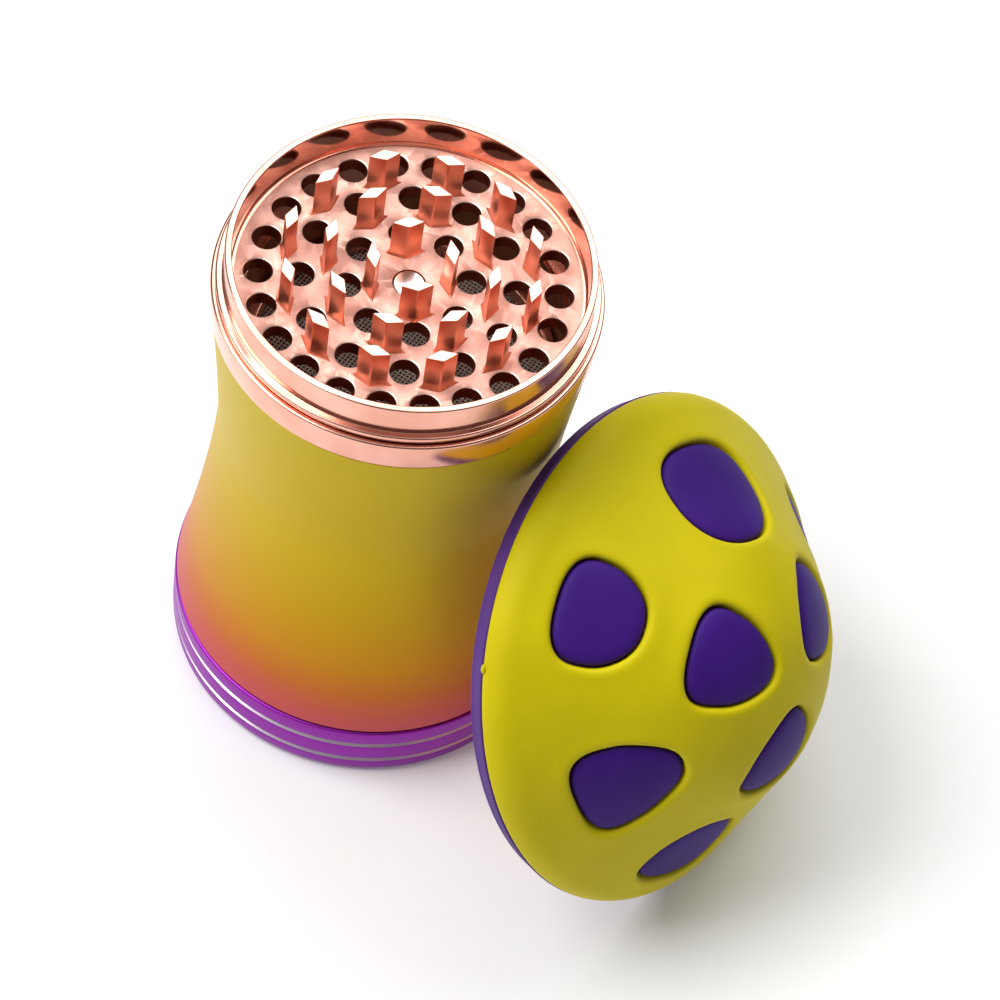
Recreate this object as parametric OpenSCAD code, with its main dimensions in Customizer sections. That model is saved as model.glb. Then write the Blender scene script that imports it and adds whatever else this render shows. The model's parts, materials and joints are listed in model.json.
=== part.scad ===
// Mushroom-shaped herb grinder with its lid off and leaning on it.
// Millimetres. The origin is under the middle of the foot, and +Z is up along the stem's axis.
// The lid is drawn about its own axis, open rim down, and lid_place() leans it on the stem.

/* [Stem] */
// Height of the toothed plate's lip above the surface
lip_z = 86; // [80:0.5:95]
// Height at which the painted stem meets the bare collar
paint_top_z = 75.1; // [70:0.1:78]
// Height of the narrowest place of the stem
waist_z = 50; // [40:1:60]
// Radius of the stem at its waist
waist_r = 24.1; // [20:0.1:30]
// How much wider than the waist the stem is at the collar
top_flare = 2.1; // [0:0.1:6]
// How much wider than the waist the stem is at the cup
foot_flare = 4.2; // [0:0.1:8]
// Radius of the bare collar at its top edge
collar_r = 26.6; // [25:0.1:30]

/* [Cup] */
// Height of the shoulder that the stem screws down to
cup_h = 10.4; // [8:0.1:14]
// Largest radius of the cup
cup_r = 28.5; // [26:0.1:32]
// Thickness of the cup's floor
cup_floor = 2.4; // [1.5:0.1:4]
// Heights of the two turned grooves
groove_z = [3.3, 7.2]; // [1:0.1:10]
// Width of a turned groove
groove_w = 0.9; // [0.4:0.1:2]

/* [Toothed plate] */
// Outer radius of the plate's ring wall
ring_r = 25; // [22:0.1:28]
// Bore radius of the plate's ring wall
ring_bore_r = 24; // [21:0.1:27]
// Depth of the grinding bowl below the lip
bowl_depth = 5.3; // [4:0.1:8]
// Radius of the flange that rests over the collar
flange_r = 26; // [25:0.1:28]
// Radius of a hole in the plate
hole_r = 2; // [1:0.1:3]
// Height of a tooth above the plate's floor
tooth_h = 6.5; // [4:0.1:9]
// Long diagonal of a tooth
tooth_long = 4.5; // [3:0.1:6]
// Short diagonal of a tooth
tooth_short = 1.95; // [1:0.05:3]
// Radius of the magnets
magnet_r = 2.2; // [1:0.1:4]

/* [Screen] */
// Height of the ledge that the screen lies on
ledge_z = 61; // [50:0.5:70]
// Radius of the screen
screen_r = 21.8; // [18:0.1:24]

/* [Lid] */
// Radius of the cap at its widest
cap_r = 36.4; // [34:0.1:40]
// Height of the cap's rim band
band_h = 2.95; // [2:0.05:5]
// Height of the straight side's end above the open rim
shoulder_w = 3.24; // [3:0.01:6]
// Radius of the cap's rounded shoulder
shoulder_r = 5; // [3:0.1:10]
// Slope of the cap's side, from level
cone_angle = 43.2; // [30:0.1:60]
// Radius of the cap's rounded top
crown_r = 28; // [20:0.5:40]
// Thickness of the soft skin
skin_t = 2; // [1:0.1:3]
// Thickness of the shell under the skin
core_t = 3; // [2:0.1:6]
// Angle between the leaning lid's axis and the surface
lean = 30; // [20:1:60]

/* [Hidden] */
$fn = 96;

// Running clearance between pieces that turn on each other
gap = 0.3;
// Overlap that makes a cut break cleanly through a face
eps = 0.1;

// --- cup ---
cup_edge_r = 2.5;
cup_bore_r = 25;
neck_bore_r = 23.2;
neck_r = 25.2;
neck_top_z = 17.6;
groove_depth = 0.45;

// --- stem ---
stem_base_z = cup_h + gap;
collar_top_z = 80;
collar_foot_r = 26.4;
collar_chamfer = 0.3;
foot_socket_r = 25.6;
foot_socket_top_z = 18;
lower_bore_r = 23.4;
lower_bore_z = 22;
throat_r = 20;
throat_z = 50;
chamber_r = 22.3;
plate_socket_r = 24.4;
plate_socket_z = 72;

// --- screen ---
screen_t = 0.5;
screen_ring_bore_r = 20.2;
screen_ring_z = ledge_z + screen_t + 0.4;
screen_ring_h = 2.6;

// --- toothed plate ---
floor_z = lip_z - bowl_depth;
floor_t = 2.4;
flange_z = collar_top_z + gap;
flange_h = 1;
flange_chamfer = 0.25;
skirt_r = plate_socket_r - gap;
skirt_bore_r = 22.6;
skirt_foot_z = plate_socket_z + 0.4;
magnet_t = 1.8;
// Each row of holes: how many, on what radius, and the first one's angle
hole_rows = [[8, 8.45, 38.9], [12, 14.7, 1.2], [22, 20.3, 14.9]];
// Each row of teeth: how many, on what radius, and the first one's angle
tooth_rows = [[4, 5.3, 40], [8, 11.3, 17], [12, 17, 16.4]];

// --- lid, where w is the height above its open rim, along its own axis ---
insert_r = 28.6;
insert_foot_w = 0.8;
insert_chamfer = 1.6;
ceiling_w = 6.6;
ceiling_t = 2.4;
ceiling_top_w = ceiling_w + ceiling_t;
ring_groove_r = 26.5;
ring_lip_r = 25.75;
ring_lip_w = 1.4;
post_r = 3.2;
post_foot_w = 0.3;
lid_magnet_t = 2.5;
lid_tooth_rows = [[6, 8.4, 0], [10, 14.2, 9], [14, 20.8, 4]];
wear_ring_r = ring_groove_r - gap;
wear_ring_bore_r = ring_r + gap;
wear_flange_bore_r = 24.5;
wear_ring_w = [ring_lip_w + gap, ceiling_w - gap];
wear_flange_t = 1;
band_foot_r = cap_r - 0.9;
rim_edge_r = 1;
rim_arc_r = band_foot_r - rim_edge_r;

// Direction of the cone's outward normal, from level, and its distance from the cap's middle
normal_angle = 90 - cone_angle;
fillet_x = cap_r - shoulder_r;
cone_reach = fillet_x * cos(normal_angle) + shoulder_w * sin(normal_angle) + shoulder_r;
crown_w = (cone_reach - crown_r) / sin(normal_angle);

// Each spot round the side: angle from the lid's top edge, radius, width, length and taper
side_spots = [[-31, 25, 18, 16.6, 0.05], [33, 27.2, 15, 13, 0.05], [90, 24.7, 14, 15.8, 0.12],
              [143, 27.5, 15.5, 14.5, 0.1], [210, 25, 17, 16, 0.08], [267, 27.5, 14.5, 13.5, 0.05]];
// The three spots round the crown
crown_spots = [for (turn = [36, 156, 276]) [turn, 11.3, 13.4, 14.6, 0.42]];
spot_gap = 0.35;
spot_sink = 0.4;

// Where the leaning lid touches: its rim's edge on the surface, and its top edge near the stem
lid_z = rim_arc_r * cos(lean) + rim_edge_r * (1 - sin(lean));
touch_z = lid_z + rim_edge_r * sin(lean) + rim_arc_r * cos(lean);
lid_x = stem_r(touch_z) + gap + rim_arc_r * sin(lean) + rim_edge_r * (1 - cos(lean));

// Radius of the painted stem at a height
function stem_r(z) = z > waist_z
    ? waist_r + top_flare * pow((z - waist_z) / (paint_top_z - waist_z), 1.3)
    : waist_r + foot_flare * pow((waist_z - z) / (waist_z - cup_h), 1.55);

// Quarter arc of a rounded edge, as outline points
function arc(centre, r, from, to, steps = 6) =
    [for (i = [0 : steps]) let (a = from + (to - from) * i / steps) centre + r * [cos(a), sin(a)]];

// The cap's outline from its straight side to its top, a depth t under the surface
function dome(t) = concat(
    arc([fillet_x, shoulder_w], shoulder_r - t, 0, normal_angle),
    arc([0, crown_w], crown_r - t, normal_angle, 90, 9));

// Radius of the cone at a height, a depth t under the surface
function cone_r(t, w) = (cone_reach - t - w * sin(normal_angle)) / cos(normal_angle);

function reversed(list) = [for (i = [len(list) - 1 : -1 : 0]) list[i]];

// Signed power, which squares up an oval
function bulge(v) = sign(v) * pow(abs(v), 0.85);

module turned(outline) {
    rotate_extrude() polygon(outline);
}

module lid_place() {
    translate([lid_x, 0, lid_z]) rotate([0, 90 - lean, 0]) children();
}

// A rhombic tooth whose long diagonal runs round the axis
module tooth(radius, angle, foot, top) {
    half = [tooth_short / 2, tooth_long / 2];
    rotate([0, 0, angle])
        translate([radius, 0, foot])
            linear_extrude(top - foot)
                polygon([[half.x, 0], [0, half.y], [-half.x, 0], [0, -half.y]]);
}

module tooth_rows_of(rows, foot, top) {
    for (row = rows)
        for (i = [0 : row[0] - 1])
            tooth(row[1], row[2] + i * 360 / row[0], foot, top);
}

// The upright outline of a spot, square to the cap where it sits, wider away from the crown
module spot_prism(spot, grow) {
    on_crown = spot[1] < crown_r * cos(normal_angle);
    slope = on_crown ? asin(spot[1] / crown_r) : cone_angle;
    w = on_crown
        ? crown_w + crown_r * cos(slope)
        : (cone_reach - spot[1] * cos(normal_angle)) / sin(normal_angle);
    reach = 6;
    outline = [for (a = [0 : 10 : 350])
        [(spot[3] / 2 + grow) * bulge(cos(a)),
         (spot[2] / 2 + grow) * bulge(sin(a)) * (1 + spot[4] * cos(a))]];
    rotate([0, 0, 180 + spot[0]])
        translate([spot[1], 0, w])
            rotate([0, slope, 0])
                translate([0, 0, -reach])
                    linear_extrude(2 * reach) polygon(outline);
}

module bottom_cup() {
    grooves = [for (z = groove_z)
        each [[cup_r, z - groove_w / 2], [cup_r - groove_depth, z - groove_w / 4],
              [cup_r - groove_depth, z + groove_w / 4], [cup_r, z + groove_w / 2]]];
    color("mediumorchid")
        turned(concat(
            [[0, 0]],
            arc([cup_r - cup_edge_r, cup_edge_r], cup_edge_r, -90, 0),
            grooves,
            [[cup_r, cup_h - 0.2], [cup_r - 0.2, cup_h], [neck_r, cup_h], [neck_r, neck_top_z],
             [neck_bore_r, neck_top_z], [neck_bore_r, cup_h + 0.6], [cup_bore_r, cup_h - 1.2],
             [cup_bore_r, cup_floor + 1], [cup_bore_r - 1, cup_floor], [0, cup_floor]]));
}

// Outline points up the painted side, from one height to another
function painted_side(from, to, steps) =
    [for (i = [0 : steps]) let (z = from + (to - from) * i / steps) [stem_r(z), z]];

// The stem's lower half, from the cup to the waist
module stem_shell() {
    color("goldenrod")
        turned(concat(
            painted_side(stem_base_z, waist_z, 8),
            [[throat_r, waist_z], [lower_bore_r, lower_bore_z], [lower_bore_r, foot_socket_top_z],
             [foot_socket_r, foot_socket_top_z], [foot_socket_r, stem_base_z]]));
}

// The stem's upper half, from the waist to the bare collar, with the chamber and the plate's socket
module stem_neck() {
    color("goldenrod")
        turned(concat(
            painted_side(waist_z, paint_top_z, 6),
            [[collar_foot_r, paint_top_z + eps], [collar_r, collar_top_z - collar_chamfer],
             [collar_r - collar_chamfer, collar_top_z], [plate_socket_r, collar_top_z],
             [plate_socket_r, plate_socket_z], [chamber_r, plate_socket_z], [chamber_r, ledge_z],
             [throat_r, ledge_z], [throat_r, waist_z]]));
}

module sieve_screen() {
    color("gray") translate([0, 0, ledge_z]) cylinder(r = screen_r, h = screen_t);
}

module screen_ring() {
    color("tan")
        translate([0, 0, screen_ring_z])
            difference() {
                cylinder(r = chamber_r - gap, h = screen_ring_h);
                translate([0, 0, -eps]) cylinder(r = screen_ring_bore_r, h = screen_ring_h + 2 * eps);
            }
}

// The plate's ring wall, the flange that rests over the collar, and the threaded skirt
module plate_ring() {
    flange_top_z = flange_z + flange_h;
    color("rosybrown")
        turned([[skirt_bore_r, floor_z], [skirt_bore_r, skirt_foot_z], [skirt_r, skirt_foot_z],
                [skirt_r, flange_z], [flange_r - flange_chamfer, flange_z],
                [flange_r, flange_z + flange_chamfer], [flange_r, flange_top_z - flange_chamfer],
                [flange_r - flange_chamfer, flange_top_z], [ring_r, flange_top_z], [ring_r, lip_z],
                [ring_bore_r, lip_z], [ring_bore_r, floor_z]]);
}

// The drilled floor of the grinding bowl
module tooth_plate() {
    color("rosybrown")
        difference() {
            translate([0, 0, floor_z - floor_t]) cylinder(r = skirt_bore_r, h = floor_t);
            for (row = hole_rows)
                for (i = [0 : row[0] - 1])
                    rotate([0, 0, row[2] + i * 360 / row[0]])
                        translate([row[1], 0, floor_z - floor_t - eps])
                            cylinder(r = hole_r, h = floor_t + 2 * eps, $fn = 32);
            translate([0, 0, floor_z - magnet_t - gap])
                cylinder(r = magnet_r + gap, h = magnet_t + gap + eps, $fn = 48);
        }
}

module plate_teeth() {
    color("rosybrown") tooth_rows_of(tooth_rows, floor_z, floor_z + tooth_h);
}

module plate_magnet() {
    color("silver") translate([0, 0, floor_z - magnet_t]) cylinder(r = magnet_r, h = magnet_t, $fn = 48);
}

module lid_insert() {
    color("rosybrown") lid_place() {
        difference() {
            turned([[0, ceiling_w], [post_r, ceiling_w], [ring_groove_r, ceiling_w],
                    [ring_groove_r, ring_lip_w], [ring_lip_r, ring_lip_w], [ring_lip_r, insert_foot_w],
                    [insert_r, insert_foot_w], [insert_r, ceiling_top_w - insert_chamfer],
                    [insert_r - insert_chamfer, ceiling_top_w], [0, ceiling_top_w]]);
        }
        difference() {
            translate([0, 0, post_foot_w]) cylinder(r = post_r, h = ceiling_w - post_foot_w + eps, $fn = 48);
            translate([0, 0, post_foot_w - eps]) cylinder(r = magnet_r, h = lid_magnet_t + eps, $fn = 48);
        }
        tooth_rows_of(lid_tooth_rows, ceiling_w - tooth_h, ceiling_w + eps);
    }
}

module lid_magnet() {
    color("silver") lid_place()
        translate([0, 0, post_foot_w]) cylinder(r = magnet_r, h = lid_magnet_t, $fn = 48);
}

module wear_ring() {
    color("white") lid_place()
        turned([[wear_ring_bore_r, wear_ring_w[0]], [wear_ring_r, wear_ring_w[0]],
                [wear_ring_r, wear_ring_w[1]], [wear_flange_bore_r, wear_ring_w[1]],
                [wear_flange_bore_r, wear_ring_w[1] - wear_flange_t],
                [wear_ring_bore_r, wear_ring_w[1] - wear_flange_t]]);
}

module cap_core() {
    cavity_t = skin_t + core_t;
    shelf_r = insert_r - insert_chamfer;
    color("indigo") lid_place()
        turned(concat(
            [[insert_r, 0.6], [insert_r + 0.6, 0]],
            arc([rim_arc_r, rim_edge_r], rim_edge_r, -90, 0),
            [[cap_r, band_h], [cap_r - skin_t, band_h]],
            dome(skin_t),
            reversed(arc([0, crown_w], crown_r - cavity_t, normal_angle, 90, 9)),
            [[cone_r(cavity_t, ceiling_top_w), ceiling_top_w], [shelf_r, ceiling_top_w],
             [insert_r, ceiling_top_w - insert_chamfer]]));
}

module cap_skin() {
    color("gold") lid_place()
        difference() {
            turned(concat([[cap_r, band_h]], dome(0), reversed(dome(skin_t)), [[cap_r - skin_t, band_h]]));
            for (spot = concat(side_spots, crown_spots))
                spot_prism(spot, 0);
        }
}

// A soft pad that fills an opening of the skin and sits a little below its surface
module spot_pad(spot) {
    color("indigo") lid_place()
        intersection() {
            turned(concat(dome(spot_sink), reversed(dome(skin_t))));
            spot_prism(spot, -spot_gap);
        }
}

bottom_cup();
stem_shell();
stem_neck();
sieve_screen();
screen_ring();
plate_ring();
tooth_plate();
plate_teeth();
plate_magnet();
lid_insert();
lid_magnet();
wear_ring();
cap_core();
cap_skin();
spot_pad(side_spots[0]);  // spot_1
spot_pad(side_spots[1]);  // spot_2
spot_pad(side_spots[2]);  // spot_3
spot_pad(side_spots[3]);  // spot_4
spot_pad(side_spots[4]);  // spot_5
spot_pad(side_spots[5]);  // spot_6
spot_pad(crown_spots[0]);  // crown_spot_1
spot_pad(crown_spots[1]);  // crown_spot_2
spot_pad(crown_spots[2]);  // crown_spot_3
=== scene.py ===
"""A mushroom-shaped herb grinder with its lid leaning on the stem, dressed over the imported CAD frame.

Lengths of the object are millimetres, and finish_piece scales them to metres. The lid's pieces are built
about the lid's own axis, with w as the height above its open rim, and finish_piece leans them with LID.
Lights and floor are placed in metres.
"""

import json
import math

import bmesh
import bpy
from mathutils import Matrix, Vector, geometry, kdtree


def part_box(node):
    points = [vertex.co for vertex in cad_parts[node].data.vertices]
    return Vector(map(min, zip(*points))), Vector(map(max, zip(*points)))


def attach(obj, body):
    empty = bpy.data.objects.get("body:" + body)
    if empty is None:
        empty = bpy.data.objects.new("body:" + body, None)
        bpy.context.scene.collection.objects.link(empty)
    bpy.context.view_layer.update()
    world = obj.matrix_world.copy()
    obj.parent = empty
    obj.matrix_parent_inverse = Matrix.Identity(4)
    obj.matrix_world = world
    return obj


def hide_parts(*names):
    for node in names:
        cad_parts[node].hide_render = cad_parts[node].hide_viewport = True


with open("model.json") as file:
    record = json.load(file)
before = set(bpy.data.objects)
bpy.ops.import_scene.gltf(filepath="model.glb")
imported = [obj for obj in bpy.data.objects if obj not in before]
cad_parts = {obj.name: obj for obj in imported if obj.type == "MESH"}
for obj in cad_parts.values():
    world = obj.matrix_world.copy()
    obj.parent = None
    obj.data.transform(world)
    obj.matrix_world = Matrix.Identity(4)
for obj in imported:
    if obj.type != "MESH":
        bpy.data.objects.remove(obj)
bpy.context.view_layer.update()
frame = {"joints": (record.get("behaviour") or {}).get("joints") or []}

MM = 0.001
TURN = 2 * math.pi

# ---------------------------------------------------------------------------------------------
# Dimensions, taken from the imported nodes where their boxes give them
# ---------------------------------------------------------------------------------------------


def top_of(node):
    """Height of a stem node's top, in millimetres."""
    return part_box(node)[1].z / MM


def foot_of(node):
    """Height of a stem node's underside, in millimetres."""
    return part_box(node)[0].z / MM


def radius_of(node):
    """Outer radius of a node in millimetres, from its reach along Y, which the lid's lean leaves alone."""
    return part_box(node)[1].y / MM


CUP_R = radius_of("bottom_cup")
CUP_SHOULDER_Z = 10.4
CUP_FLOOR_Z = 2.4
CUP_BOWL_R = 25.0
CUP_NECK_R = 25.2
CUP_NECK_BORE_R = 23.2
CUP_NECK_TOP = top_of("bottom_cup")
CUP_GROOVES = (3.3, 7.2)
GROOVE_HALF = 0.45
GROOVE_DEPTH = 0.42
THREAD_STARTS = 5
THREAD_PITCH = 1.2

STEM_FOOT_Z = foot_of("stem_shell")
COLLAR_TOP = top_of("stem_neck")
COLLAR_R = 26.6
PAINT_TOP_Z = 75.1
WAIST_Z = 50.0
WAIST_R = 24.1
TOP_FLARE = 2.1
FOOT_FLARE = 4.2
PLATE_SOCKET_R = 24.4
PLATE_SOCKET_Z = 72.0
CHAMBER_R = 22.3
THROAT_R = 20.0
LOWER_BORE_R = 23.4
LOWER_BORE_Z = 22.0
FOOT_SOCKET_R = 25.6
FOOT_SOCKET_TOP_Z = 18.0

SCREEN_Z = foot_of("sieve_screen")
SCREEN_R = radius_of("sieve_screen")
SCREEN_T = 0.5
SCREEN_PITCH = 0.56
WIRE_HALF = 0.12
WIRE_WAVE = 0.09
RING_FOOT_Z = foot_of("screen_ring")
RING_TOP_Z = top_of("screen_ring")
RING_R = radius_of("screen_ring")
RING_BORE_R = 20.2

FLOOR_Z = top_of("plate_magnet")
FLOOR_T = 2.4
LIP_Z = 86.0
TOOTH_TOP_Z = top_of("plate_teeth")
PLATE_WALL_R = 25.0
PLATE_BORE_R = 24.0
FLANGE_R = radius_of("plate_ring")
FLANGE_Z = COLLAR_TOP + 0.3
FLANGE_H = 1.0
SKIRT_R = 24.1
SKIRT_BORE_R = 22.6
SKIRT_FOOT_Z = foot_of("plate_ring")
HOLE_R = 2.0
HOLE_SIDES = 40
HOLE_FLARE = 0.18
HOLE_FOOT_FLARE = 0.12
MAGNET_R = 2.2
MAGNET_T = 1.8
POCKET_R = 2.24
POCKET_DEPTH = 2.1
# Each row of holes or teeth: how many, on what radius, and the first one's angle
HOLE_ROWS = ((8, 8.45, 38.9), (12, 14.7, 1.2), (22, 20.3, 14.9))
TOOTH_ROWS = ((4, 5.3, 40.0), (8, 11.3, 17.0), (12, 17.0, 16.4))
TOOTH_HALF_SHORT = 0.975
TOOTH_HALF_LONG = 2.25

CAP_R = radius_of("cap_skin")
BAND_H = 2.95
BAND_FOOT_R = 35.55
RIM_EDGE_R = 1.0
RIM_EDGE_MIDDLE_R = 34.5
SHOULDER_W = 3.24
SHOULDER_R = 5.0
CROWN_R = 28.0
CONE_SLOPE = math.radians(43.2)
NORMAL_ANGLE = math.pi / 2 - CONE_SLOPE
SKIN_T = 2.0
CORE_T = 3.0
SPOT_GAP = 0.35
NUB_ANGLE = 231.0
# Each spot: angle from the lid's top edge, radius, width, length, taper and how three-cornered it is
SIDE_SPOTS = (
    (-31, 25, 18, 16.6, 0.05, 0.02),
    (33, 27.2, 15, 13, 0.08, 0.03),
    (90, 24.7, 14, 15.8, 0.18, 0.06),
    (143, 27.5, 15.5, 14.5, 0.12, 0.04),
    (210, 25, 17, 16, 0.08, 0.03),
    (267, 27.5, 14.5, 13.5, 0.05, 0.03),
)
CROWN_SPOTS = tuple((turn, 11.3, 13.4, 14.6, 0.42, 0.0) for turn in (36, 156, 276))
LID_TOOTH_ROWS = ((6, 8.4, 0.0), (10, 14.2, 9.0), (14, 20.8, 4.0))
INSERT_R = 28.6
INSERT_FOOT_W = 0.8
INSERT_TOP_W = 9.0
INSERT_CHAMFER = 1.6
SOCKET_R = 26.5
SOCKET_TOP_W = 6.6
SOCKET_LIP_R = 25.75
SOCKET_LIP_W = 1.4
POST_R = 3.2
POST_FOOT_W = 0.3
LID_MAGNET_TOP_W = 2.8


def lid_matrix():
    """The lid's own frame, from the joint that it turns on: +Z along its axis, towards the crown."""
    joint = next(j for j in frame["joints"] if j["name"] == "lid_turn")
    axis = Vector(joint["axis"]).normalized()
    across = Vector((0, 1, 0))
    columns = (across.cross(axis), across, axis)
    turn = Matrix([[c[row] for c in columns] for row in range(3)]).to_4x4()
    return Matrix.Translation(Vector(joint["pos_m"])) @ turn


LID = lid_matrix()

# ---------------------------------------------------------------------------------------------
# Mesh makers
# ---------------------------------------------------------------------------------------------


def finish_piece(name, bm, body, material, replaces=(), slot=None, place=None, sharp=35):
    """Turns a bmesh in millimetres into a piece that rides on a body."""
    bmesh.ops.remove_doubles(bm, verts=bm.verts, dist=0.002)
    bmesh.ops.recalc_face_normals(bm, faces=bm.faces)
    bmesh.ops.scale(bm, vec=(MM, MM, MM), verts=bm.verts)
    if place is not None:
        bm.transform(place)
    mesh = bpy.data.meshes.new(name)
    bm.to_mesh(mesh)
    bm.free()
    for polygon in mesh.polygons:
        polygon.use_smooth = True
    mesh.set_sharp_from_angle(angle=math.radians(sharp))
    materials = material if isinstance(material, (list, tuple)) else [material]
    for entry in materials:
        mesh.materials.append(entry)
    piece = bpy.data.objects.new(name, mesh)
    bpy.context.scene.collection.objects.link(piece)
    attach(piece, body)
    if replaces:
        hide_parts(*replaces)
    return piece


def curve_corner(start, corner, end, t):
    """A point on the quadratic curve that rounds a corner."""
    return start * (1 - t) ** 2 + corner * 2 * t * (1 - t) + end * t * t


def filleted(corners, closed=True, steps=4):
    """An outline from (r, z) or (r, z, fillet) corners, each fillet drawn as a short curve."""
    points = []
    count = len(corners)
    for i, corner in enumerate(corners):
        here = Vector(corner[:2])
        fillet = corner[2] if len(corner) > 2 else 0
        end = not closed and i in (0, count - 1)
        if not fillet or end:
            points.append(here)
            continue
        before = Vector(corners[i - 1][:2]) - here
        after = Vector(corners[(i + 1) % count][:2]) - here
        cut_before = here + before.normalized() * min(fillet, before.length * 0.49)
        cut_after = here + after.normalized() * min(fillet, after.length * 0.49)
        for k in range(steps + 1):
            points.append(curve_corner(cut_before, here, cut_after, k / steps))
    return points


def join_rings(bm, rings, index=0):
    """Joins each ring of vertices to the next with quads."""
    count = len(rings[0])
    for low, high in zip(rings, rings[1:]):
        for i in range(count):
            j = (i + 1) % count
            face = bm.faces.new((low[i], low[j], high[j], high[i]))
            face.material_index = index


def add_lathe(bm, outline, closed=True, segments=192, material_of=None):
    """Revolves an (r, z) outline about Z into the bmesh."""
    rings = []
    for r, z in outline:
        if r < 1e-6:
            rings.append([bm.verts.new((0, 0, z))] * segments)
            continue
        ring = []
        for i in range(segments):
            a = TURN * i / segments
            ring.append(bm.verts.new((r * math.cos(a), r * math.sin(a), z)))
        rings.append(ring)
    pairs = [(k, k + 1) for k in range(len(rings) - 1)]
    if closed:
        pairs.append((len(rings) - 1, 0))
    for a, b in pairs:
        low, high = rings[a], rings[b]
        for i in range(segments):
            j = (i + 1) % segments
            corners = []
            for vert in (low[i], low[j], high[j], high[i]):
                if vert not in corners:
                    corners.append(vert)
            if len(corners) < 3:
                continue
            face = bm.faces.new(corners)
            if material_of is not None:
                face.material_index = material_of(outline[a], outline[b])


def lathe(name, corners, body, material, segments=192, **kwargs):
    """A whole piece revolved from its filleted corners."""
    bm = bmesh.new()
    add_lathe(bm, filleted(corners), segments=segments)
    return finish_piece(name, bm, body, material, **kwargs)


def rhombus_ring(half_short, half_long, grow, corner):
    """Outline of a rhombus grown by an offset, with rounded corners, long diagonal along Y."""
    reach = math.hypot(half_short, half_long)
    a = half_short + grow * reach / half_long
    b = half_long + grow * reach / half_short
    tips = [Vector((a, 0)), Vector((0, b)), Vector((-a, 0)), Vector((0, -b))]
    points = []
    for i, tip in enumerate(tips):
        to_before = (tips[i - 1] - tip).normalized() * corner
        to_after = (tips[(i + 1) % 4] - tip).normalized() * corner
        for t in (0, 0.33, 0.67, 1):
            points.append(curve_corner(tip + to_before, tip, tip + to_after, t))
    return points


def add_tooth(bm, radius, angle, foot, tip, side_index, top_index):
    """One tooth from foot to tip, which may lie below foot, flared where it meets its plate."""
    way = 1 if tip > foot else -1
    height = abs(tip - foot)
    levels = (
        (-0.1, 0.34), (0.0, 0.30), (0.12, 0.15), (0.35, 0.05), (0.8, 0.0),
        (height - 0.1, 0.0), (height - 0.03, -0.03), (height, -0.1),
    )
    place = Matrix.Rotation(math.radians(angle), 4, "Z") @ Matrix.Translation((radius, 0, 0))
    rings = []
    for z, grow in levels:
        outline = rhombus_ring(TOOTH_HALF_SHORT, TOOTH_HALF_LONG, grow, 0.22)
        rings.append([bm.verts.new(place @ Vector((p.x, p.y, foot + way * z))) for p in outline])
    join_rings(bm, rings, side_index)
    top = bm.faces.new(rings[-1])
    top.material_index = top_index


def add_tooth_rows(bm, rows, foot, tip, side_index, top_index):
    """All the teeth of some rows, on one plate."""
    for count, radius, start in rows:
        for i in range(count):
            add_tooth(bm, radius, start + 360 * i / count, foot, tip, side_index, top_index)


def circle_points(centre, radius, count):
    """Evenly spaced points of a flat circle."""
    return [
        Vector((centre[0] + radius * math.cos(TURN * i / count),
                centre[1] + radius * math.sin(TURN * i / count)))
        for i in range(count)
    ]


def add_thread(bm, radius, ridge, foot, top, steps=72):
    """Low helical ridges round a cylinder, fading in and out at their ends."""
    half = 0.45
    rise = THREAD_STARTS * THREAD_PITCH
    turns = (top - foot - 2 * half) / rise
    count = max(8, int(steps * turns))
    for s in range(THREAD_STARTS):
        rings = []
        for k in range(count + 1):
            t = k / count
            crest = ridge * min(1, t * 10, (1 - t) * 10)
            a = TURN * (s / THREAD_STARTS + turns * t)
            z = foot + half + rise * turns * t
            section = ((-0.05, -half), (crest, -half * 0.4), (crest, half * 0.4), (-0.05, half))
            rings.append([
                bm.verts.new(((radius + out) * math.cos(a), (radius + out) * math.sin(a), z + up))
                for out, up in section
            ])
        join_rings(bm, rings)
        bm.faces.new(rings[0])
        bm.faces.new(rings[-1])


def add_disc(bm, z, rim_r, segments, holes, grow):
    """A flat round face with round holes, each drawn wider by grow."""
    points = circle_points((0, 0), rim_r, segments)
    edges = [(i, (i + 1) % segments) for i in range(segments)]
    for x, y, r in holes:
        first = len(points)
        points += circle_points((x, y), r + grow, HOLE_SIDES)
        edges += [(first + i, first + (i + 1) % HOLE_SIDES) for i in range(HOLE_SIDES)]
    flat, _, faces, _, _, _ = geometry.delaunay_2d_cdt(points, edges, [], 0, 1e-5)
    verts = [bm.verts.new((p.x, p.y, z)) for p in flat]
    for face in faces:
        middle = sum((flat[i] for i in face), Vector((0, 0))) / len(face)
        in_hole = any((middle - Vector((x, y))).length < r + grow - 0.03 for x, y, r in holes)
        if not in_hole:
            bm.faces.new([verts[i] for i in face])


# ---------------------------------------------------------------------------------------------
# Materials
# ---------------------------------------------------------------------------------------------


def linear(r, g, b):
    """A colour given as 0 to 255 sRGB, as Blender's linear values."""
    def one(v):
        v = v / 255
        return v / 12.92 if v <= 0.04045 else ((v + 0.055) / 1.055) ** 2.4
    return (one(r), one(g), one(b), 1.0)


def new_material(name, **values):
    """A Principled material whose constant values sit on the shader's own sockets."""
    material = bpy.data.materials.new(name)
    material.use_nodes = True
    shader = material.node_tree.nodes["Principled BSDF"]
    for key, value in values.items():
        shader.inputs[key.replace("_", " ")].default_value = value
    return material, material.node_tree, shader


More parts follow.
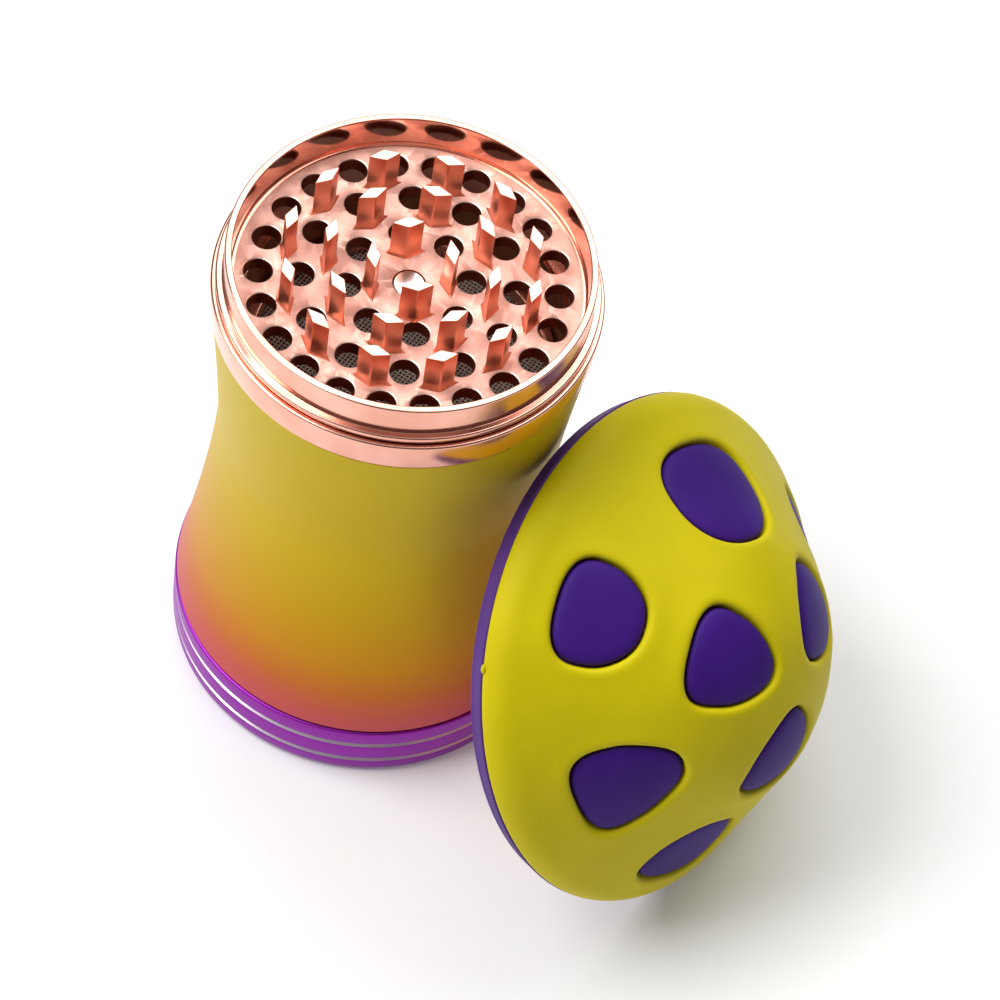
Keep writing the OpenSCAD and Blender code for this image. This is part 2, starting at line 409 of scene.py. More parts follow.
def object_noise(tree, scale):
    """Noise fixed to the piece, with scale in waves per millimetre."""
    place = tree.nodes.new("ShaderNodeTexCoord")
    noise = tree.nodes.new("ShaderNodeTexNoise")
    noise.inputs["Scale"].default_value = scale / MM
    noise.inputs["Detail"].default_value = 3.0
    noise.inputs["Roughness"].default_value = 0.55
    tree.links.new(place.outputs["Object"], noise.inputs["Vector"])
    return noise


def add_bump(tree, shader, scale, height_mm, strength=1.0):
    """A surface grain of a few hundredths of a millimetre or less."""
    noise = object_noise(tree, scale)
    bump = tree.nodes.new("ShaderNodeBump")
    bump.inputs["Strength"].default_value = strength
    bump.inputs["Distance"].default_value = height_mm * MM
    tree.links.new(noise.outputs["Fac"], bump.inputs["Height"])
    tree.links.new(bump.outputs["Normal"], shader.inputs["Normal"])


def ramp_node(tree, stops):
    """A colour ramp through (position, colour) stops."""
    ramp = tree.nodes.new("ShaderNodeValToRGB")
    elements = ramp.color_ramp.elements
    elements[0].position, elements[0].color = stops[0]
    elements[1].position, elements[1].color = stops[-1]
    for position, colour in stops[1:-1]:
        element = elements.new(position)
        element.color = colour
    return ramp


def vary_colour(tree, shader, scale, low, high):
    """Lets the base colour wander between two colours."""
    noise = object_noise(tree, scale)
    ramp = ramp_node(tree, [(0.35, low), (0.65, high)])
    tree.links.new(noise.outputs["Fac"], ramp.inputs["Fac"])
    tree.links.new(ramp.outputs["Color"], shader.inputs["Base Color"])


def vary_roughness(tree, shader, scale, low, high):
    """Lets the roughness wander between two values."""
    noise = object_noise(tree, scale)
    spread = tree.nodes.new("ShaderNodeMapRange")
    spread.inputs["From Min"].default_value = 0.3
    spread.inputs["From Max"].default_value = 0.7
    spread.inputs["To Min"].default_value = low
    spread.inputs["To Max"].default_value = high
    tree.links.new(noise.outputs["Fac"], spread.inputs["Value"])
    tree.links.new(spread.outputs["Result"], shader.inputs["Roughness"])


# Each stop of the paint: height in millimetres and sRGB colour
PAINT_STOPS = (
    (10, (196, 86, 98)),
    (14, (196, 92, 76)),
    (18, (196, 108, 42)),
    (24, (198, 134, 18)),
    (32, (196, 150, 8)),
    (46, (196, 166, 6)),
    (75, (192, 168, 8)),
)


def paint_material():
    """Sprayed paint that fades from yellow at the top through orange to pink at the foot."""
    material, tree, shader = new_material(
        "stem_paint", Metallic=0.6, Roughness=0.44, Specular_IOR_Level=0.1
    )
    foot = PAINT_STOPS[0][0]
    head = PAINT_STOPS[-1][0]
    place = tree.nodes.new("ShaderNodeTexCoord")
    split = tree.nodes.new("ShaderNodeSeparateXYZ")
    height = tree.nodes.new("ShaderNodeMapRange")
    height.inputs["From Min"].default_value = foot * MM
    height.inputs["From Max"].default_value = head * MM
    ramp = ramp_node(tree, [((z - foot) / (head - foot), linear(*colour)) for z, colour in PAINT_STOPS])
    tree.links.new(place.outputs["Object"], split.inputs["Vector"])
    tree.links.new(split.outputs["Z"], height.inputs["Value"])
    tree.links.new(height.outputs["Result"], ramp.inputs["Fac"])
    tree.links.new(ramp.outputs["Color"], shader.inputs["Base Color"])
    add_bump(tree, shader, 2.2, 0.01, 0.5)
    return material


def rose_gold_material(name, dark, light, rough, grain_mm, grain_scale, metallic=1.0, mottle=0.12):
    """Rose-gold plated metal, from polished to sand-blasted."""
    material, tree, shader = new_material(name, Metallic=metallic)
    vary_colour(tree, shader, mottle, linear(*dark), linear(*light))
    vary_roughness(tree, shader, 0.4, rough * 0.85, rough * 1.2)
    add_bump(tree, shader, grain_scale, grain_mm, 0.6)
    return material


def silicone_material(name, dark, light):
    """Matte moulded silicone."""
    material, tree, shader = new_material(name, Roughness=0.55, Specular_IOR_Level=0.14)
    vary_colour(tree, shader, 0.09, linear(*dark), linear(*light))
    add_bump(tree, shader, 3.0, 0.012, 0.6)
    return material


def plain_material(name, colour, grain_scale=0, grain_mm=0.0, **values):
    """One colour all over, with a surface grain where grain_scale is given."""
    material, tree, shader = new_material(name, Base_Color=linear(*colour), **values)
    if grain_scale:
        add_bump(tree, shader, grain_scale, grain_mm, 0.6)
    return material


PAINT = paint_material()
COLLAR_METAL = rose_gold_material("rose_gold_turned", (228, 164, 144), (242, 184, 166), 0.17, 0.002, 1.2)
WALL_METAL = rose_gold_material("rose_gold_polished", (232, 168, 146), (240, 182, 162), 0.1, 0.002, 0.8)
BLASTED_METAL = rose_gold_material(
    "rose_gold_blasted", (236, 182, 164), (252, 212, 198), 0.68, 0.016, 6.0, metallic=0.8, mottle=6.0
)
TOOTH_SIDE = rose_gold_material("tooth_side", (226, 148, 120), (236, 166, 140), 0.36, 0.002, 2.0)
# Painted shade: the stem's inside is a darker, browner copy of the rose gold, standing in for the shade
# inside the closed chamber; its higher roughness is the metal's own
INSIDE_SHADED_METAL = rose_gold_material(
    "stem_inside_painted_shade", (150, 104, 66), (164, 116, 76), 0.62, 0.01, 3.0, metallic=0.7
)
TOOTH_TOP = plain_material("tooth_top", (252, 226, 214), 2.0, 0.01, Metallic=0.8, Roughness=0.4)
# Painted shade: the walls of the floor's holes and the magnet pocket take this dark brown copy of the rose
# gold, for the shade deep inside them
HOLE_WALL_SHADE = plain_material("hole_wall_painted_shade", (150, 78, 54), 2.0, 0.01, Metallic=1.0, Roughness=0.4)
CUP_PURPLE = plain_material(
    "cup_purple", (148, 40, 166), 2.4, 0.006, Metallic=0.75, Roughness=0.38, Specular_IOR_Level=0.2
)
GROOVE_BRIGHT = plain_material("groove_bright", (236, 220, 236), Metallic=0.6, Roughness=0.25)
WIRE = plain_material("screen_wire", (244, 240, 232), Metallic=0.35, Roughness=0.35)
MAGNET = plain_material("magnet", (240, 240, 242), 1.5, 0.004, Metallic=1.0, Roughness=0.16)
SLIP = plain_material("slip_ring", (222, 222, 216), 2.0, 0.01, Roughness=0.5)
YELLOW = silicone_material("yellow_silicone", (202, 186, 6), (208, 192, 8))
PURPLE = silicone_material("purple_silicone", (54, 20, 112), (60, 24, 122))
BAND_PURPLE = silicone_material("purple_band", (84, 50, 124), (92, 56, 132))

# ---------------------------------------------------------------------------------------------
# Stem and cup
# ---------------------------------------------------------------------------------------------


def stem_radius(z):
    """Radius of the painted stem at a height."""
    if z > WAIST_Z:
        return WAIST_R + TOP_FLARE * ((z - WAIST_Z) / (PAINT_TOP_Z - WAIST_Z)) ** 1.3
    return WAIST_R + FOOT_FLARE * ((WAIST_Z - z) / (WAIST_Z - CUP_SHOULDER_Z)) ** 1.55


def build_stem():
    """The painted stem with its bare collar and its bores."""
    foot_r = stem_radius(STEM_FOOT_Z)
    side = [(foot_r - 0.2, STEM_FOOT_Z), (foot_r, STEM_FOOT_Z + 0.2)]
    rows = 60
    for i in range(1, rows + 1):
        z = STEM_FOOT_Z + (PAINT_TOP_Z - 0.15 - STEM_FOOT_Z) * i / rows
        side.append((stem_radius(z), z))
    outline = side + filleted([
        (stem_radius(PAINT_TOP_Z) - 0.2, PAINT_TOP_Z - 0.05),
        (stem_radius(PAINT_TOP_Z) - 0.2, PAINT_TOP_Z + 0.2),
        (COLLAR_R - 0.2, PAINT_TOP_Z + 0.25, 0.12),
        (COLLAR_R, COLLAR_TOP, 0.35),
        (PLATE_SOCKET_R, COLLAR_TOP, 0.3),
        (PLATE_SOCKET_R, PLATE_SOCKET_Z),
        (CHAMBER_R, PLATE_SOCKET_Z, 0.2),
        (CHAMBER_R, SCREEN_Z),
        (THROAT_R, SCREEN_Z, 0.3),
        (THROAT_R, WAIST_Z, 3.0),
        (LOWER_BORE_R, LOWER_BORE_Z, 3.0),
        (LOWER_BORE_R, FOOT_SOCKET_TOP_Z, 0.2),
        (FOOT_SOCKET_R, FOOT_SOCKET_TOP_Z),
        (FOOT_SOCKET_R, STEM_FOOT_Z, 0.2),
    ], closed=False)
    # The bore faces take the darker inside metal, which is painted shade
    paint, bare, shaded_bore = range(3)

    def coat(p, q):
        """The material of the face between two points of the outline."""
        if max(p[1], q[1]) <= PAINT_TOP_Z and min(p[0], q[0]) > stem_radius(p[1]) - 0.4:
            return paint
        in_bore = max(p[0], q[0]) < PLATE_SOCKET_R - 0.2 and max(p[1], q[1]) < PLATE_SOCKET_Z + 1
        return shaded_bore if in_bore else bare

    bm = bmesh.new()
    add_lathe(bm, outline, segments=256, material_of=coat)
    finish_piece("stem_body", bm, "stem", [PAINT, COLLAR_METAL, INSIDE_SHADED_METAL],
                 ["stem_shell", "stem_neck"], "stem_paint")


def build_cup():
    """The catcher cup: a turned foot with a fine recess, two bright grooves and a threaded neck."""
    corners = [
        (0, 0), (24.0, 0, 1.0), (24.6, 0.4, 0.3), (25.6, 0.4, 0.3), (26.0, 0, 0.6), (CUP_R - 0.2, 0, 2.4),
    ]
    for z in CUP_GROOVES:
        corners += [
            (CUP_R, z - GROOVE_HALF, 0.12), (CUP_R - GROOVE_DEPTH, z - 0.2, 0.1),
            (CUP_R - GROOVE_DEPTH, z + 0.2, 0.1), (CUP_R, z + GROOVE_HALF, 0.12),
        ]
    corners += [
        (CUP_R, CUP_SHOULDER_Z, 0.4), (CUP_NECK_R, CUP_SHOULDER_Z, 0.2),
        (CUP_NECK_R, CUP_NECK_TOP, 0.3), (CUP_NECK_BORE_R, CUP_NECK_TOP, 0.3), (CUP_NECK_BORE_R, 11.0, 0.4),
        (CUP_BOWL_R, 9.2, 0.6), (CUP_BOWL_R, CUP_FLOOR_Z, 2.2), (0, CUP_FLOOR_Z),
    ]
    purple, bright = range(2)

    def finish(p, q):
        """The material of the face between two points of the outline."""
        low = min(p[1], q[1])
        high = max(p[1], q[1])
        in_groove = any(low > z - GROOVE_HALF - 0.01 and high < z + GROOVE_HALF + 0.01 for z in CUP_GROOVES)
        return bright if in_groove and CUP_R - 0.5 < min(p[0], q[0]) < CUP_R - 0.01 else purple

    bm = bmesh.new()
    add_lathe(bm, filleted(corners), segments=256, material_of=finish)
    add_thread(bm, CUP_NECK_R, 0.25, CUP_SHOULDER_Z + 1.2, CUP_NECK_TOP - 0.4)
    finish_piece("cup_body", bm, "cup", [CUP_PURPLE, GROOVE_BRIGHT], ["bottom_cup"], "cup_purple")


def build_screen():
    """Square-woven wire cloth inside a thin rolled rim."""
    bm = bmesh.new()
    middle = SCREEN_Z + SCREEN_T / 2
    wire_reach = SCREEN_R - 0.4
    count = int(wire_reach / SCREEN_PITCH)
    section = ((WIRE_HALF, 0), (0, WIRE_HALF), (-WIRE_HALF, 0), (0, -WIRE_HALF))
    for across in (False, True):
        for k in range(-count, count + 1):
            offset = k * SCREEN_PITCH
            reach = math.sqrt(wire_reach ** 2 - offset ** 2)
            steps = int(reach / SCREEN_PITCH)
            rings = []
            for m in range(-steps, steps + 1):
                along = m * SCREEN_PITCH
                sign = 1 if (k + m) % 2 else -1
                z = middle + WIRE_WAVE * sign * (-1 if across else 1)
                ring = []
                for side, up in section:
                    x, y = (offset + side, along) if across else (along, offset + side)
                    ring.append(bm.verts.new((x, y, z + up)))
                rings.append(ring)
            join_rings(bm, rings)
    rim = filleted([
        (SCREEN_R - 0.6, SCREEN_Z, 0.15), (SCREEN_R, SCREEN_Z, 0.15),
        (SCREEN_R, SCREEN_Z + SCREEN_T, 0.15), (SCREEN_R - 0.6, SCREEN_Z + SCREEN_T, 0.15),
    ])
    add_lathe(bm, rim, segments=128)
    finish_piece("woven_screen", bm, "stem", WIRE, ["sieve_screen"], "screen_mesh", sharp=75)
    lathe("retaining_ring", [
        (RING_BORE_R, RING_FOOT_Z, 0.2), (RING_R, RING_FOOT_Z, 0.2),
        (RING_R, RING_TOP_Z, 0.3), (RING_BORE_R, RING_TOP_Z, 0.3),
    ], "stem_rise", COLLAR_METAL, replaces=["screen_ring"], slot="rose_gold")


# ---------------------------------------------------------------------------------------------
# Toothed plate
# ---------------------------------------------------------------------------------------------


PLATE_METALS = [BLASTED_METAL, TOOTH_SIDE, TOOTH_TOP, WALL_METAL, COLLAR_METAL, HOLE_WALL_SHADE]
# The places of those materials in the list; BLASTED is also every face's default
# SHADED_DEPTH is the painted shade of the hole walls and the magnet pocket
BLASTED, SIDE, TIP, WALL, TURNED, SHADED_DEPTH = range(6)


def build_plate():
    """The toothed plate with its drilled floor, ring wall, flange and threaded skirt, and its magnet."""
    holes = []
    for count, radius, start in HOLE_ROWS:
        for i in range(count):
            a = math.radians(start + 360 * i / count)
            holes.append((radius * math.cos(a), radius * math.sin(a), HOLE_R))
    segments = 256
    foot_z = FLOOR_Z - FLOOR_T
    bm = bmesh.new()
    add_disc(bm, FLOOR_Z, PLATE_BORE_R - 0.5, segments, holes + [(0, 0, POCKET_R - 0.12)], HOLE_FLARE)
    for x, y, r in holes:
        add_hole(bm, x, y, r, FLOOR_Z, foot_z)
    add_pocket(bm, POCKET_R, FLOOR_Z, FLOOR_Z - POCKET_DEPTH)
    add_disc(bm, foot_z, SKIRT_BORE_R - 0.3, segments, holes, HOLE_FOOT_FLARE)
    walls = filleted([
        (PLATE_BORE_R - 0.5, FLOOR_Z), (PLATE_BORE_R, FLOOR_Z, 0.5), (PLATE_BORE_R, LIP_Z, 0.22),
        (PLATE_WALL_R, LIP_Z, 0.25), (PLATE_WALL_R, FLANGE_Z + FLANGE_H, 0.15),
        (FLANGE_R, FLANGE_Z + FLANGE_H, 0.3), (FLANGE_R, FLANGE_Z, 0.3), (SKIRT_R, FLANGE_Z, 0.1),
        (SKIRT_R, SKIRT_FOOT_Z, 0.4), (SKIRT_BORE_R, SKIRT_FOOT_Z, 0.3),
        (SKIRT_BORE_R, foot_z, 0.3), (SKIRT_BORE_R - 0.3, foot_z),
    ], closed=False)

    def finish(p, q):
        """The material of the face between two points of the outline."""
        inner = max(p[0], q[0]) <= PLATE_BORE_R + 0.01 and min(p[1], q[1]) > FLOOR_Z + 0.1
        return WALL if inner else TURNED

    add_lathe(bm, walls, closed=False, segments=segments, material_of=finish)
    add_tooth_rows(bm, TOOTH_ROWS, FLOOR_Z, TOOTH_TOP_Z, SIDE, TIP)
    thread = bmesh.new()
    add_thread(thread, SKIRT_R, 0.2, SKIRT_FOOT_Z + 0.5, FLANGE_Z - 0.8)
    finish_piece("plate_body", bm, "plate", PLATE_METALS,
                 ["plate_ring", "tooth_plate", "plate_teeth"], "rose_gold", sharp=30)
    finish_piece("plate_thread", thread, "plate", COLLAR_METAL, slot="rose_gold")
    lathe("bowl_magnet", [
        (0, FLOOR_Z - MAGNET_T), (MAGNET_R, FLOOR_Z - MAGNET_T, 0.15), (MAGNET_R, FLOOR_Z, 0.3), (0, FLOOR_Z),
    ], "plate_rise", MAGNET, segments=64, replaces=["plate_magnet"], slot="magnet")


def add_hole(bm, x, y, radius, top, foot):
    """The wall of a drilled hole, flared a little at both ends to meet the disc faces' openings."""
    # Below its bright rim the hole's wall takes the dark painted shade colour
    levels = (
        (HOLE_FLARE, top, TIP), (0.04, top - 0.1, TIP), (0, top - 0.3, TURNED),
        (0, foot + 0.2, SHADED_DEPTH), (HOLE_FOOT_FLARE, foot, SHADED_DEPTH),
    )
    rings = []
    for grow, z, _ in levels:
        circle = circle_points((x, y), radius + grow, HOLE_SIDES)
        rings.append([bm.verts.new((p.x, p.y, z)) for p in circle])
    for low, high, level in zip(rings, rings[1:], levels[1:]):
        join_rings(bm, (low, high), level[2])


def add_pocket(bm, radius, top, foot):
    """The blind pocket that holds the magnet."""
    rings = []
    for r, z in ((radius + 0.06, top), (radius, top - 0.05), (radius, foot)):
        rings.append([bm.verts.new((p.x, p.y, z)) for p in circle_points((0, 0), r, HOLE_SIDES)])
    # The pocket's wall and floor take the dark painted shade colour
    join_rings(bm, rings, SHADED_DEPTH)
    floor = bm.faces.new(rings[-1])
    floor.material_index = SHADED_DEPTH


# ---------------------------------------------------------------------------------------------
# Lid
# ---------------------------------------------------------------------------------------------

# The cap's outline as (r, w): straight side, shoulder arc, cone, crown arc. Lengths run up from the
# skin's foot, and NORMAL and UPHILL belong to the cone.
FILLET_X = CAP_R - SHOULDER_R
NORMAL = Vector((math.cos(NORMAL_ANGLE), math.sin(NORMAL_ANGLE)))
UPHILL = Vector((-NORMAL.y, NORMAL.x))
CONE_REACH = FILLET_X * NORMAL.x + SHOULDER_W * NORMAL.y + SHOULDER_R
CROWN_W = (CONE_REACH - CROWN_R) / NORMAL.y
CONE_FOOT = Vector((FILLET_X, SHOULDER_W)) + SHOULDER_R * NORMAL
CONE_HEAD = Vector((0, CROWN_W)) + CROWN_R * NORMAL
SIDE_LENGTH = SHOULDER_W - BAND_H
FILLET_LENGTH = SHOULDER_R * NORMAL_ANGLE
CONE_LENGTH = (CONE_HEAD - CONE_FOOT).length
CROWN_LENGTH = CROWN_R * (math.pi / 2 - NORMAL_ANGLE)
SKIN_LENGTH = SIDE_LENGTH + FILLET_LENGTH + CONE_LENGTH + CROWN_LENGTH


def cap_at(s):
    """(r, w) and outward normal of the cap's outline, a length s up from the skin's foot."""
    if s < SIDE_LENGTH:
        return Vector((CAP_R, BAND_H + s)), Vector((1, 0))
    s -= SIDE_LENGTH
    if s < FILLET_LENGTH:
        a = s / SHOULDER_R
        out = Vector((math.cos(a), math.sin(a)))
        return Vector((FILLET_X, SHOULDER_W)) + SHOULDER_R * out, out
    s -= FILLET_LENGTH
    if s < CONE_LENGTH:
        return CONE_FOOT + UPHILL * s, NORMAL.copy()
    s -= CONE_LENGTH
    a = min(NORMAL_ANGLE + s / CROWN_R, math.pi / 2)
    out = Vector((math.cos(a), math.sin(a)))
    return Vector((0, CROWN_W)) + CROWN_R * out, out


def cap_nearest(r, w):
    """For an (r, w) point: its height above the cap, the outline length below it, and the normal."""
    here = Vector((r, w))
    along = (here - CONE_FOOT).dot(UPHILL)
    if w < SHOULDER_W:
        return r - CAP_R, w - BAND_H, Vector((1, 0))
    if along < 0:
        out = here - Vector((FILLET_X, SHOULDER_W))
        a = math.atan2(out.y, out.x)
        return out.length - SHOULDER_R, SIDE_LENGTH + SHOULDER_R * a, out.normalized()
    if along < CONE_LENGTH:
        return here.dot(NORMAL) - CONE_REACH, SIDE_LENGTH + FILLET_LENGTH + along, NORMAL.copy()
    out = here - Vector((0, CROWN_W))
    a = math.atan2(out.y, out.x) - NORMAL_ANGLE
    s = SIDE_LENGTH + FILLET_LENGTH + CONE_LENGTH + CROWN_R * a
    return out.length - CROWN_R, s, out.normalized()


def on_cap(u, v, height=0.0):
    """The cap point over a place of the flattened map, whose centre is the crown."""
    reach = math.hypot(u, v)
    turn = math.atan2(v, u)
    place, out = cap_at(max(0.0, SKIN_LENGTH - reach))
    place = place + out * height
    return Vector((place.x * math.cos(turn), place.x * math.sin(turn), place.y))


def flatten(point):
    """The flattened map's place for a point near the cap's surface."""
    _, s, _ = cap_nearest(math.hypot(point.x, point.y), point.z)
    reach = SKIN_LENGTH - s
    turn = math.atan2(point.y, point.x)
    return Vector((reach * math.cos(turn), reach * math.sin(turn)))


def drop_to_cap(point, way):
    """Slides a point along a direction until it lies on the cap's surface."""
    for _ in range(8):
        r = math.hypot(point.x, point.y)
        height, _, out = cap_nearest(r, point.z)
        normal = Vector((0, 0, 1))
        if r > 1e-6:
            normal = Vector((out.x * point.x / r, out.x * point.y / r, out.y))
        point = point - way * (height / max(0.2, way.dot(normal)))
    return point


def bulge(v):
    """Squares up a cosine or sine a little, for a fuller outline."""
    return math.copysign(abs(v) ** 0.85, v)


def spot_outline(spot, grow, count=96):
    """A spot's outline on the cap, grown by an offset, as places of the flattened map."""
    turn, radius, width, length, taper, corners = spot
    on_crown = radius < CROWN_R * NORMAL.x
    slope = math.asin(radius / CROWN_R) if on_crown else CONE_SLOPE
    if on_crown:
        w = CROWN_W + CROWN_R * math.cos(slope)
    else:
        w = (CONE_REACH - radius * NORMAL.x) / NORMAL.y
    spin = Matrix.Rotation(math.pi + math.radians(turn), 3, "Z")
    centre = spin @ Vector((radius, 0, w))
    down = spin @ Vector((math.cos(slope), 0, -math.sin(slope)))
    side = spin @ Vector((0, 1, 0))
    out = down.cross(side)
    places = []
    for i in range(count):
        a = TURN * i / count
        swell = 1 - corners * math.cos(3 * a)
        x = (length / 2 * swell + grow) * bulge(math.cos(a))
        y = (width / 2 * swell + grow) * bulge(math.sin(a)) * (1 + taper * math.cos(a))
        places.append(flatten(drop_to_cap(centre + down * x + side * y, out)))
    return places


def inside(place, outline):
    """Whether a place lies inside a closed outline."""
    hit = False
    before = outline[-1]
    for after in outline:
        if (after.y > place.y) != (before.y > place.y):
            cross = (before.x - after.x) * (place.y - after.y) / (before.y - after.y) + after.x
            if place.x < cross:
                hit = not hit
        before = after
    return hit


def lip_height(away):
    """Height of the skin's surface, a distance away from a spot's opening."""
    knots = (
        (0.0, -0.5), (0.08, -0.3), (0.25, -0.08), (0.5, 0.05),
        (0.9, 0.12), (1.5, 0.11), (2.3, 0.04), (3.2, 0.0),
    )
    for (d0, h0), (d1, h1) in zip(knots, knots[1:]):
        if away < d1:
            t = (away - d0) / (d1 - d0)
            return h0 + (h1 - h0) * t
    return 0.0


def build_skin(spots):
    """The yellow skin: one sheet with soft raised lips round its nine openings."""
    openings = [spot_outline(spot, 0.0) for spot in spots]
    tree = kdtree.KDTree(sum(len(o) for o in openings))
    for index, place in enumerate(p for outline in openings for p in outline):
        tree.insert((place.x, place.y, 0), index)
    tree.balance()
    owner_of = [k for k, outline in enumerate(openings) for _ in outline]

    points = []
    edges = []

    def add_loop(loop):
        """Adds a closed line that the sheet's triangles may not cross."""
        first = len(points)
        points.extend(loop)
        edges.extend((first + i, first + (i + 1) % len(loop)) for i in range(len(loop)))

    rim_count = 256
    for inset in (0.0, 0.12, 0.3, 0.6):
        add_loop(circle_points((0, 0), SKIN_LENGTH - inset, rim_count))
    for outline in openings:
        add_loop(outline)
    for k, spot in enumerate(spots):
        for grow in (0.08, 0.25, 0.5, 0.9, 1.4, 2.0, 2.7):
            for place in spot_outline(spot, grow):
                _, near, away = tree.find((place.x, place.y, 0))
                if owner_of[near] == k and away > grow * 0.6 and place.length < SKIN_LENGTH - 0.8:
                    points.append(place)
    step = 0.9
    rows = int(SKIN_LENGTH / (step * 0.87))
    for row in range(-rows, rows + 1):
        for column in range(-rows, rows + 1):
            place = Vector(((column + 0.5 * (row % 2)) * step, row * step * 0.87))
            if place.length > SKIN_LENGTH - 1.0:
                continue
            _, near, away = tree.find((place.x, place.y, 0))
            if away > 3.0 and not inside(place, openings[owner_of[near]]):
                points.append(place)

    flat, _, faces, _, _, _ = geometry.delaunay_2d_cdt(points, edges, [], 0, 1e-4)
    bm = bmesh.new()
    verts = []
    for place in flat:
        _, _, away = tree.find((place.x, place.y, 0))
        from_foot = SKIN_LENGTH - place.length
        fall = -0.3 * max(0.0, 1 - from_foot / 0.5) ** 2
        verts.append(bm.verts.new(on_cap(place.x, place.y, lip_height(away) + fall)))
    for face in faces:
        middle = sum((flat[i] for i in face), Vector((0, 0))) / len(face)
        _, near, _ = tree.find((middle.x, middle.y, 0))
        if not inside(middle, openings[owner_of[near]]):
            bm.faces.new([verts[i] for i in face])
    for outline in openings:
        add_wall(bm, outline, lip_height(0.0), -SKIN_T)
    foot = circle_points((0, 0), SKIN_LENGTH, rim_count)
    add_wall(bm, foot, -0.8, -SKIN_T + 0.1)
    add_flash_nub(bm, NUB_ANGLE)
    finish_piece("cap_skin_soft", bm, "lid", YELLOW, ["cap_skin"], "yellow_silicone", LID, sharp=60)


def add_flash_nub(bm, angle):
    """A small moulding nub that stands on the skin's foot."""
    turn = math.radians(angle)
    rings = []
    for out, size in ((-0.4, 1.0), (0.15, 0.9), (0.35, 0.6), (0.42, 0.2)):
        ring = []
        for i in range(16):
            a = TURN * i / 16
            r = CAP_R + out
            swing = turn + 0.7 * size * math.cos(a) / CAP_R
            w = BAND_H + 0.3 + 0.4 * size * math.sin(a)
            ring.append(bm.verts.new((r * math.cos(swing), r * math.sin(swing), w)))
        rings.append(ring)
    join_rings(bm, rings)
    bm.faces.new(rings[-1])
    bm.faces.new(rings[0])


def add_wall(bm, outline, top, foot):
    """A wall under an outline on the cap, from one height to another."""
    join_rings(bm, [[bm.verts.new(on_cap(p.x, p.y, w)) for p in outline] for w in (top, foot)])


def build_spot(name, node, spot):
    """A purple pad that fills one opening, puffed up from its edge."""
    rings_at = (
        (0.0, -SKIN_T), (0.0, -1.1), (0.04, -0.8), (0.15, -0.58), (0.35, -0.42), (0.7, -0.3),
        (1.2, -0.2), (2.0, -0.14), (3.0, -0.1), (4.2, -0.08), (5.4, -0.07),
    )
    bm = bmesh.new()
    rings = []
    for inset, height in rings_at:
        outline = spot_outline(spot, -SPOT_GAP - inset)
        rings.append([bm.verts.new(on_cap(p.x, p.y, height)) for p in outline])
    join_rings(bm, rings)
    last = rings[-1]
    middle = sum((v.co for v in last), Vector()) / len(last)
    above = drop_to_cap(middle, middle.normalized())
    hub = bm.verts.new(middle + (above - middle) * 0.5)
    for i, vert in enumerate(last):
        bm.faces.new((vert, last[(i + 1) % len(last)], hub))
    bm.faces.new(rings[0])
    finish_piece(name, bm, "lid", PURPLE, [node], "purple_silicone", LID, sharp=70)


def build_core():
    """The hard purple shell whose foot shows as the cap's rim band."""
    inner_t = SKIN_T + CORE_T

    def arc(centre, radius, start, end, steps):
        """Points of an arc between two angles."""
        points = []
        for i in range(steps + 1):
            a = start + (end - start) * i / steps
            points.append(Vector((centre[0] + radius * math.cos(a), centre[1] + radius * math.sin(a))))
        return points

    def crown(depth):
        """The crown's arc, a depth below the cap's surface, ending on the axis."""
        points = arc((0, CROWN_W), CROWN_R - depth, NORMAL_ANGLE, math.pi / 2, 24)
        points[-1].x = 0.0
        return points

    outline = filleted([
        (INSERT_R, 8.0), (INSERT_R, 0.6, 0.2), (29.2, 0.0, 0.3), (34.4, 0.0),
    ], closed=False)
    outline += arc((RIM_EDGE_MIDDLE_R, RIM_EDGE_R), RIM_EDGE_R, -math.pi / 2, 0, 12)
    outline += filleted([
        (BAND_FOOT_R, 1.1), (CAP_R, BAND_H - 0.12, 0.3),
        (CAP_R - 0.3, BAND_H + 0.02, 0.1), (CAP_R - SKIN_T, BAND_H),
    ], closed=False)
    outline += arc((FILLET_X, SHOULDER_W), SHOULDER_R - SKIN_T, 0, NORMAL_ANGLE, 12)
    outline += crown(SKIN_T)
    outline += reversed(crown(inner_t))
    cone_in = (CONE_REACH - inner_t - INSERT_TOP_W * NORMAL.y) / NORMAL.x
    outline += [
        Vector((cone_in, INSERT_TOP_W)), Vector((INSERT_R - INSERT_CHAMFER, INSERT_TOP_W)),
        Vector((INSERT_R, INSERT_TOP_W - INSERT_CHAMFER)),
    ]
    bm = bmesh.new()
    add_lathe(bm, outline, segments=256)
    finish_piece("cap_shell", bm, "lid", BAND_PURPLE, ["cap_core"], "purple_silicone", LID)


